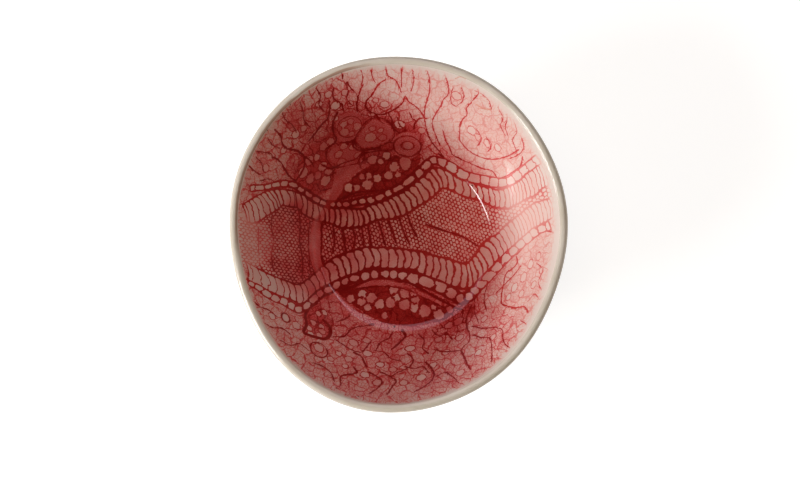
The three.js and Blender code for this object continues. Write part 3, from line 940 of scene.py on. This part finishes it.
def lace_ink_group():
    """How much stain lies at each point of the imprint: 0 is bare clay and 1 is full."""
    tree = bpy.data.node_groups.new("lace imprint", "ShaderNodeTree")
    give_sockets(tree, "OUTPUT", {"Stain": ("Float",), "Mark": ("Float",)})
    lace = add(tree, "ShaderNodeAttribute", attribute_name="lace").outputs["Vector"]
    layers = [f"threads {i}" for i in range(thread_layers)]
    stored = {}
    for name in ["stain", "fade", "ground", "eyelets"] + layers:
        field = add(tree, "ShaderNodeAttribute", attribute_name=name).outputs["Vector"]
        stored[name] = add(tree, "ShaderNodeSeparateXYZ", {0: field}).outputs
    strength, fades = stored["stain"], stored["fade"]
    ground, eyelet = stored["ground"], stored["eyelets"]
    above = add(tree, "ShaderNodeTexCoord").outputs["Object"]
    above = add(tree, "ShaderNodeVectorMath", {0: above, 1: (1 / mm, 1 / mm, 0)},
                operation="MULTIPLY")
    # A mix node's sockets go by number: 2 and 3 mix values, 4 and 5 vectors, 6 and 7 colours.
    flat = add(tree, "ShaderNodeMix", {"Factor": 0.5, 4: lace, 5: above}, data_type="VECTOR")
    noise = {}
    for name, scale, detail in (("wander", 0.28, 3.0), ("rough", 0.9, 3.0), ("broken", 0.4, 3.0),
                                ("blotch", 0.14, 3.0), ("grit", 2.4, 2.0), ("uneven", 0.35, 3.0),
                                ("frayed", 0.35, 5.0), ("cloud", 0.12, 6.0)):
        noise[name] = add(tree, "ShaderNodeTexNoise",
                          {"Vector": flat.outputs[1], "Scale": scale, "Detail": detail})
    broken, grit = noise["broken"], noise["grit"]
    rough = worked(tree, "ShaderNodeMath", noise["rough"], ("MULTIPLY_ADD", 2.0, -1.0))

    # The cloth was never laid quite flat, so every repeat wanders a little.
    wander = worked(tree, "ShaderNodeVectorMath", noise["wander"].outputs["Color"],
                    ("SUBTRACT", (0.5, 0.5, 0.5)))
    cloth, laid = (
        worked(tree, "ShaderNodeVectorMath", wander, ("MULTIPLY_ADD", [reach] * 3, start))
        for start, reach in ((flat.outputs[1], 5.0), (above, 1.4)))

    # Loose ground outside the bands: cells of 4.5 mm, some open and some close, with ragged
    # dark edges, over a fine weave of 1.3 mm, fibres that run up the wall, and grit.
    patch = add(tree, "ShaderNodeTexVoronoi", {"Vector": cloth, "Scale": 0.22},
                voronoi_dimensions="2D")
    patch = add(tree, "ShaderNodeSeparateXYZ", {0: patch.outputs["Color"]})
    patch = worked(tree, "ShaderNodeMath", patch, ("MULTIPLY", 0.26))
    to_vein, to_weave = (
        add(tree, "ShaderNodeTexVoronoi", {"Vector": vector, "Scale": scale},
            feature="DISTANCE_TO_EDGE", voronoi_dimensions="2D")
        for vector, scale in ((cloth, 0.22), (laid, 0.75)))
    thickness = add(tree, "ShaderNodeMapRange",
                    {"Value": broken, "From Min": 0.38, "From Max": 0.62, "To Min": 0.02,
                     "To Max": 0.08})
    in_vein = worked(tree, "ShaderNodeMath", thickness, ("SUBTRACT", to_vein))
    length = add(tree, "ShaderNodeVectorMath", {0: lace}, operation="LENGTH").outputs["Value"]
    length = worked(tree, "ShaderNodeMath", length, ("MULTIPLY", 0.16))
    up_the_wall = add(tree, "ShaderNodeCombineXYZ", {"Z": length})
    up_the_wall = worked(tree, "ShaderNodeVectorMath", lace, ("NORMALIZE",),
                         ("MULTIPLY_ADD", (45, 45, 45), up_the_wall))
    fibres = add(tree, "ShaderNodeTexNoise", {"Vector": up_the_wall, "Scale": 1.0, "Detail": 2.0})
    blotch, speckled, fibre, weave, vein = (
        add(tree, "ShaderNodeMapRange",
            {"Value": value, "From Min": low, "From Max": high, "To Max": most}, **shape)
        for value, low, high, most, shape in (
            (noise["blotch"], 0.4, 0.7, 0.35, {}), (grit, 0.5, 0.75, 0.5, {}),
            (fibres, 0.56, 0.72, 0.55, {}), (to_weave, 0.16, 0.03, 0.38, eased),
            (in_vein, -0.06, 0.03, 1.1, eased)))
    loose = worked(tree, "ShaderNodeMath", blotch, ("ADD", patch), ("ADD", weave),
                   ("ADD", speckled), ("MAXIMUM", fibre), ("MAXIMUM", vein))
    mark = worked(tree, "ShaderNodeMath", loose, ("MULTIPLY", strength["Z"]))

    # Net ground between the ladders: three threads cross about every 1.4 mm. It was pulled
    # out as the cloth went up the wall, so seen from above it stays even. On the left wall
    # its threads run another way.
    left_net = -35.0
    uneven = worked(tree, "ShaderNodeMath", noise["uneven"], ("MULTIPLY_ADD", 3.4, -1.7))
    nets = []
    for ways in (((-0.837, -0.233, 0), (0.514, -0.494, 0), (-0.323, -0.727, 0)),
                 ((0.02, 0.94, 0), (0.74, 0.47, 0), (-0.72, 0.47, 0))):
        holes = uneven
        for way in ways:
            step = add(tree, "ShaderNodeVectorMath", {0: laid, 1: way}, operation="DOT_PRODUCT")
            holes = worked(tree, "ShaderNodeMath", step.outputs["Value"],
                           ("MULTIPLY", 2 * math.pi), ("COSINE",), ("ADD", holes))
        nets.append(holes)
    left = add(tree, "ShaderNodeSeparateXYZ", {0: above}).outputs["X"]
    left = add(tree, "ShaderNodeMapRange",
               {"Value": left, "From Min": left_net, "From Max": left_net - 0.6})
    holes = add(tree, "ShaderNodeMix", {0: left, 2: nets[0], 3: nets[1]})
    net = add(tree, "ShaderNodeMapRange",
              {"Value": holes, "From Min": 0.5, "From Max": -1.3, "To Min": 0.06, "To Max": 1.05},
              **eased)
    in_net = add(tree, "ShaderNodeMapRange",
                 {"Value": ground["X"], "From Min": -0.2, "From Max": 0.2})
    mark = add(tree, "ShaderNodeMix", {0: in_net, 2: mark, 3: net})

    # Clusters of closer work, solid leaves and smooth ribbons, with eyelets through them.
    for place, edge, over, share, least in ((eyelet["Y"], 1.0, loose, 0.6, 0.34),
                                            (ground["Y"], 0.4, loose, 0.35, 0.72),
                                            (ground["Z"], 0.5, grit, 0.7, 0.08)):
        solid = worked(tree, "ShaderNodeMath", over, ("MULTIPLY_ADD", share, least))
        place = worked(tree, "ShaderNodeMath", rough, ("MULTIPLY_ADD", 0.6, place))
        within_it = add(tree, "ShaderNodeMapRange",
                        {"Value": place, "From Min": -edge, "From Max": edge}, **eased)
        mark = add(tree, "ShaderNodeMix", {0: within_it, 2: mark, 3: solid})
    # The ribbon, which comes last, also lies as a veil over the ladders that it crosses. Along the
    # bend at the left of the floor this paler band is partly painted sheen.
    ribbon_and_sheen_mark = solid
    veiled = worked(tree, "ShaderNodeMath", within_it, ("MULTIPLY", 0.45))
    hole = worked(tree, "ShaderNodeMath", rough, ("MULTIPLY_ADD", 0.9, eyelet["X"]))
    rim = add(tree, "ShaderNodeMapRange",
              {"Value": hole, "From Min": 0.95, "From Max": 0.5, "To Max": 0.95}, **eased)
    left_in_hole = worked(tree, "ShaderNodeMath", eyelet["Z"], ("MULTIPLY", 0.3))
    open_cell = add(tree, "ShaderNodeMapRange",
                    {"Value": hole, "From Min": 0.0, "From Max": 0.35, "To Min": left_in_hole},
                    **eased)
    mark = worked(tree, "ShaderNodeMath", mark, ("MAXIMUM", rim), ("MULTIPLY", open_cell))

    # Gimp threads, a little ragged, with stain bled round them.
    for layer in (stored[name] for name in layers):
        away = worked(tree, "ShaderNodeMath", rough, ("MULTIPLY_ADD", 0.55, layer["X"]),
                      ("ABSOLUTE",))
        sure = add(tree, "ShaderNodeMapRange",
                   {"Value": layer["Y"], "From Min": 0.15, "From Max": 0.4})
        line = worked(tree, "ShaderNodeMath", broken, ("MULTIPLY_ADD", 0.9, -0.45))
        line = worked(tree, "ShaderNodeMath", layer["Z"], ("MULTIPLY_ADD", 0.82, line),
                      ("SUBTRACT", away))
        for low, high, full in ((-0.9, 0.0, 0.3), (-0.2, 0.12, 1.3)):
            inked = add(tree, "ShaderNodeMapRange",
                        {"Value": line, "From Min": low, "From Max": high, "To Max": full},
                        **eased)
            mark = worked(tree, "ShaderNodeMath", inked, ("MULTIPLY", sure), ("MAXIMUM", mark))

    # Ladders and rows of beads, each a row of open cells between threads. Where a row of
    # beads lies close to its ladder, the thread between them fills the gap.
    row_of_cells = cells_group()
    ragged = add(tree, "ShaderNodeCombineXYZ", {
        axis: worked(tree, "ShaderNodeMath", rough, ("MULTIPLY", share))
        for axis, share in (("X", 0.1), ("Y", 0.3))})
    sway = worked(tree, "ShaderNodeVectorMath", wander, ("MULTIPLY_ADD", (0.9, 1.2, 0), ragged))
    rows, gaps = [], []
    for name, thread, corner in (("upper ladder", 0.72, 0.9), ("lower ladder", 0.72, 0.9),
                                 ("upper beads", 0.7, 1.0), ("lower beads", 0.7, 1.5)):
        field = add(tree, "ShaderNodeAttribute", attribute_name=name).outputs["Vector"]
        field = worked(tree, "ShaderNodeVectorMath", field, ("ADD", sway))
        rows.append(add(tree, "ShaderNodeGroup",
                        {"Band": field, "Thread": thread, "Corner": corner},
                        node_tree=row_of_cells))
        past = add(tree, "ShaderNodeSeparateXYZ", {0: field}).outputs["Y"]
        gaps.append(add(tree, "ShaderNodeMapRange",
                        {"Value": past, "From Min": 0.95, "From Max": 0.55}, **eased))
    for near_ladder, near_beads in zip(gaps[:2], gaps[2:]):
        mark = worked(tree, "ShaderNodeMath", near_ladder, ("MULTIPLY", near_beads),
                      ("MAXIMUM", mark))
    for row in rows:
        dark = add(tree, "ShaderNodeMath", {0: 1.0, 1: row.outputs["Cell"]}, operation="SUBTRACT")
        mark = add(tree, "ShaderNodeMix", {0: row.outputs["Row"], 2: mark, 3: dark})
    mark = add(tree, "ShaderNodeMix", {0: veiled, 2: mark, 3: ribbon_and_sheen_mark})
    mark = worked(tree, "ShaderNodeMath", grit, ("MULTIPLY_ADD", 0.4, -0.2), ("ADD", mark))

    # Stain: a cloudy wash over everything and ink in the marks, both fading out below the lip.
    amounts = []
    for faded, level in ((fades["Y"], strength["X"]), (fades["X"], strength["Y"])):
        faded = worked(tree, "ShaderNodeMath", noise["frayed"], ("MULTIPLY_ADD", 0.9, faded))
        faded = add(tree, "ShaderNodeMapRange",
                    {"Value": faded, "From Min": 0.35, "From Max": 1.45}, **eased)
        amounts.append(worked(tree, "ShaderNodeMath", level, ("MULTIPLY", faded)))
    wash, ink = amounts
    cloud = add(tree, "ShaderNodeMapRange",
                {"Value": noise["cloud"], "From Min": 0.3, "From Max": 0.7, "To Min": 0.65,
                 "To Max": 1.35})
    wash = worked(tree, "ShaderNodeMath", wash, ("MULTIPLY", cloud))
    stained = add(tree, "ShaderNodeMix", {0: mark, 2: wash, 3: ink}, clamp_factor=False)
    add(tree, "NodeGroupOutput", {"Stain": stained, "Mark": mark})
    return tree


def lace_glaze():
    """Glazed earth-red stain on stoneware: wet gloss over a soft matte print."""
    material, tree, shader = fired("glazed red lace stain", {
        "Roughness": 0.5, "Specular IOR Level": 0.0, "Coat Weight": 1.0, "Coat Roughness": 0.04,
        "Coat IOR": 1.45})
    ink = add(tree, "ShaderNodeGroup", node_tree=lace_ink_group())
    tint = add(tree, "ShaderNodeValToRGB", {"Fac": ink.outputs["Stain"]})
    stops = tint.color_ramp.elements
    stops[0].color, stops[1].color = colour("#D6CABE"), colour("#800605")
    for place, code in ((0.2, "#D8B0A4"), (0.4, "#D0857C"), (0.6, "#C65150"), (0.8, "#B02A27")):
        stops.new(place).color = colour(code)
    marked = add(tree, "ShaderNodeAttribute", attribute_name="specks").outputs["Vector"]
    marked = add(tree, "ShaderNodeSeparateXYZ", {0: marked}).outputs
    stone = tint.outputs[0]
    for place, inner, outer_edge, share, code in ((marked["Y"], 0.1, 0.6, 0.6, "#C8683A"),
                                                  (marked["X"], 0.3, 0.6, 0.85, "#2A1810")):
        there = add(tree, "ShaderNodeMapRange",
                    {"Value": place, "From Min": outer_edge, "From Max": inner, "To Max": share})
        stone = add(tree, "ShaderNodeMix", {0: there, 6: stone, 7: colour(code)},
                    data_type="RGBA").outputs[2]
    tree.links.new(stone, shader.inputs["Base Color"])
    dents = add(tree, "ShaderNodeMath", {0: 1.0, 1: ink.outputs["Mark"]}, operation="SUBTRACT")
    relief = add(tree, "ShaderNodeBump", {"Height": dents, "Distance": 0.05 * mm, "Strength": 0.4})
    tree.links.new(relief.outputs[0], shader.inputs["Normal"])
    return material


lining.data.materials.clear()
lining.data.materials.append(lace_glaze())
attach(lining, "root")
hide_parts("lace_glaze_lining")


# The clear glaze coat. A dipped clear glaze covers the lip and the outside and stops on a
# wiped line above the foot. It is glossy over pale clay. On one side the inner half of the lip
# is tinted brown: partly stain rubbed over from the inside, and partly painted shade where the
# lip turns away from the light.
glaze_edge = 0.15
glaze_line_level = 6.5
coat_segments = 512
# Where the inner lip is tinted brown, partly stain and partly painted shade: its direction and
# reach.
rubbed_and_shaded_side = math.radians(143)
rubbed_and_shaded_reach = 1.35


def clear_glaze():
    """Clear glaze over pale stoneware: greyish cream, faintly mottled, wet gloss, browned on one
    side of the inner lip by stain and painted shade.
    """
    material, tree, shader = fired("clear glaze on stoneware", {
        "Roughness": 0.6, "Specular IOR Level": 0.0, "Coat Weight": 1.0, "Coat Roughness": 0.05})
    place = add(tree, "ShaderNodeTexCoord").outputs["Object"]
    mottle = add(tree, "ShaderNodeTexNoise", {"Vector": place, "Scale": 90.0, "Detail": 5.0})
    tint = add(tree, "ShaderNodeValToRGB", {"Fac": mottle})
    for stop, position, code in zip(tint.color_ramp.elements, (0.3, 0.7), ("#C2B7A5", "#CFC6B7")):
        stop.position, stop.color = position, colour(code)
    # A brown tint over the inner half of the lip on one side: partly stain rubbed over from the
    # inside and partly painted shade.
    lace = add(tree, "ShaderNodeAttribute", attribute_name="lace").outputs["Vector"]
    length = add(tree, "ShaderNodeVectorMath", {0: lace}, operation="LENGTH").outputs["Value"]
    over = worked(tree, "ShaderNodeMath", mottle, ("MULTIPLY_ADD", 1.6, length))
    edge = face_length + rubbed_and_shaded_reach + 0.8
    over = add(tree, "ShaderNodeMapRange",
               {"Value": over, "From Min": edge + 0.15, "From Max": edge - 0.25})
    side = worked(tree, "ShaderNodeVectorMath", lace, ("NORMALIZE",),
                  ("DOT_PRODUCT", (math.cos(rubbed_and_shaded_side), math.sin(rubbed_and_shaded_side), 0)))
    side = add(tree, "ShaderNodeMapRange",
               {"Value": side.outputs["Value"], "From Min": 0.66, "From Max": 0.84}, **eased)
    lip_stain_and_shade = worked(tree, "ShaderNodeMath", over, ("MULTIPLY", side))
    tint = add(tree, "ShaderNodeMix",
               {0: lip_stain_and_shade, 6: tint.outputs[0], 7: colour("#A28370")}, data_type="RGBA")
    tree.links.new(tint.outputs[2], shader.inputs["Base Color"])
    return material


covered = [(point, into) for point, (q, into, c) in zip(outer, slab)
           if point.y > glaze_line_level]
below = outer[len(outer) - len(covered) - 1]
first = covered[0][0]
line_point = below.lerp(first, (glaze_line_level - below.y) / (first.y - below.y))
covered = [(line_point, covered[0][1])] + covered
outside_face = [line_point - covered[0][1] * glaze_edge]
outside_face += [point - into * glaze_thickness for point, into in covered[1:]]
lip_face = [slab[-1][0] + lip_into * glaze_thickness]
lip_face += lip_arc(lip_into, lip_thickness / 2 + glaze_thickness, steps=16)
hidden_face = [slab[-1][0]] + clay_lip + [point for point, into in reversed(covered)]
shown = measured([tuple(point) for point in lip_face + outside_face[::-1]], face_length)
coat_profile = shown[::-1] + [(point.x, point.y, face_length * 2) for point in hidden_face]
coat = turned("clear_glaze_coat_fine", coat_profile + coat_profile[:1], coat_segments,
              clear_glaze())
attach(coat, "root")
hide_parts("clear_glaze_coat")


# The floor and the light. A pale tabletop, a window-like lamp low on the left, dimmer ones
# beyond the pot, above it and low on the right, and a soft room that is darker overhead. What
# lights the pot and what is mirrored in its glaze are lamps of their own.
def studio_floor():
    """A pale, matte tabletop. It is seen as white and throws a softer light on the pot."""
    material = bpy.data.materials.new("pale tabletop")
    material.use_nodes = True
    tree = material.node_tree
    tree.nodes.clear()
    path = add(tree, "ShaderNodeLightPath").outputs
    seen = worked(tree, "ShaderNodeMath", path["Is Camera Ray"],
                  ("MAXIMUM", path["Is Glossy Ray"]), ("MAXIMUM", path["Is Transmission Ray"]))
    matte = add(tree, "ShaderNodeBsdfDiffuse", {"Color": colour("#E2E0DC")})
    faint = add(tree, "ShaderNodeBsdfDiffuse", {"Color": colour("#BCBAB6")})
    white = add(tree, "ShaderNodeEmission", {"Color": (1, 1, 1, 1), "Strength": 0.78})
    lifted = add(tree, "ShaderNodeAddShader", {0: faint, 1: white})
    shown_there = add(tree, "ShaderNodeMixShader", {0: seen, 1: matte, 2: lifted})
    add(tree, "ShaderNodeOutputMaterial", {"Surface": shown_there})
    return material


floor_reach = 1.2
floor_sink = 0.02 * mm
floor_mesh = bpy.data.meshes.new("tabletop")
floor_mesh.from_pydata([(x * floor_reach, y * floor_reach, -floor_sink)
                        for x, y in ((-1, -1), (1, -1), (1, 1), (-1, 1))], [], [(0, 1, 2, 3)])
tabletop = bpy.data.objects.new("tabletop", floor_mesh)
floor_mesh.materials.append(studio_floor())
bpy.context.scene.collection.objects.link(tabletop)


def lamp(name, turn, elevation, distance, width, height, power, tint, lights=True,
         mirrored=True, shape="RECTANGLE"):
    """A lamp turned to the pot, which lights it, is mirrored in its glaze, or both.

    Turn and elevation are in degrees, distance and size in metres, and power in watts.
    """
    light = bpy.data.lights.new(name, "AREA")
    light.shape, light.size, light.size_y = shape, width, height
    light.energy, light.color = power, colour(tint)[:3]
    holder = bpy.data.objects.new(name, light)
    holder.visible_diffuse = lights
    holder.visible_glossy = mirrored
    turn, elevation = math.radians(turn), math.radians(elevation)
    way = Vector((math.cos(turn) * math.cos(elevation), math.sin(turn) * math.cos(elevation),
                  math.sin(elevation)))
    holder.location = way * distance + Vector((0, 0, pot_height * mm / 2))
    holder.rotation_euler = way.to_track_quat("Z", "Y").to_euler()
    bpy.context.scene.collection.objects.link(holder)


lamp("window", 203, 26, 1.5, 0.75, 0.5, 27.0, "#F8FAFF", mirrored=False)
lamp("window pane", 203, 21, 1.5, 0.95, 1.0, 12.0, "#FCFDFF", lights=False, shape="ELLIPSE")
lamp("bright pane", 203, 21, 1.49, 0.75, 0.8, 25.0, "#FCFDFF", lights=False, shape="ELLIPSE")
lamp("cool panel", 92, 42, 1.5, 1.6, 0.25, 3.9, "#D6DEFF", mirrored=False)
lamp("overhead", 150, 81, 1.5, 0.9, 0.9, 5.3, "#FFEDD8", mirrored=False)
lamp("side fill", 335, 7, 1.5, 1.2, 0.4, 3.6, "#FFF4E8", mirrored=False)
lamp("pale wall", 95, 48, 1.5, 1.9, 1.3, 15.5, "#FFE0F2", lights=False)
lamp("wall edge", 42, 52, 1.5, 0.6, 0.06, 0.6, "#FFE8EC", lights=False)

world = bpy.data.worlds.new("room")
bpy.context.scene.world = world
world.use_nodes = True
tree = world.node_tree
tree.nodes.clear()
way = add(tree, "ShaderNodeTexCoord").outputs["Generated"]
way = add(tree, "ShaderNodeSeparateXYZ", {0: way}).outputs
nearer = add(tree, "ShaderNodeMapRange", {"Value": way["Y"], "From Min": -0.9, "From Max": 0.3,
                                          "To Min": 0.12, "To Max": 0.26}, **eased)
room = add(tree, "ShaderNodeMapRange", {"Value": way["Z"], "From Min": 0.25, "From Max": 0.95,
                                        "To Min": nearer, "To Max": 0.06}, **eased)
direct = add(tree, "ShaderNodeLightPath").outputs["Is Camera Ray"]
level = add(tree, "ShaderNodeMix", {0: direct, 2: room.outputs[0], 3: 1.0})
tint = add(tree, "ShaderNodeMix", {0: direct, 6: colour("#FFEED8"), 7: (1, 1, 1, 1)},
           data_type="RGBA").outputs[2]
background = add(tree, "ShaderNodeBackground", {"Color": tint, "Strength": level})
add(tree, "ShaderNodeOutputWorld", {"Surface": background})

bpy.context.scene.view_settings.view_transform = "Standard"
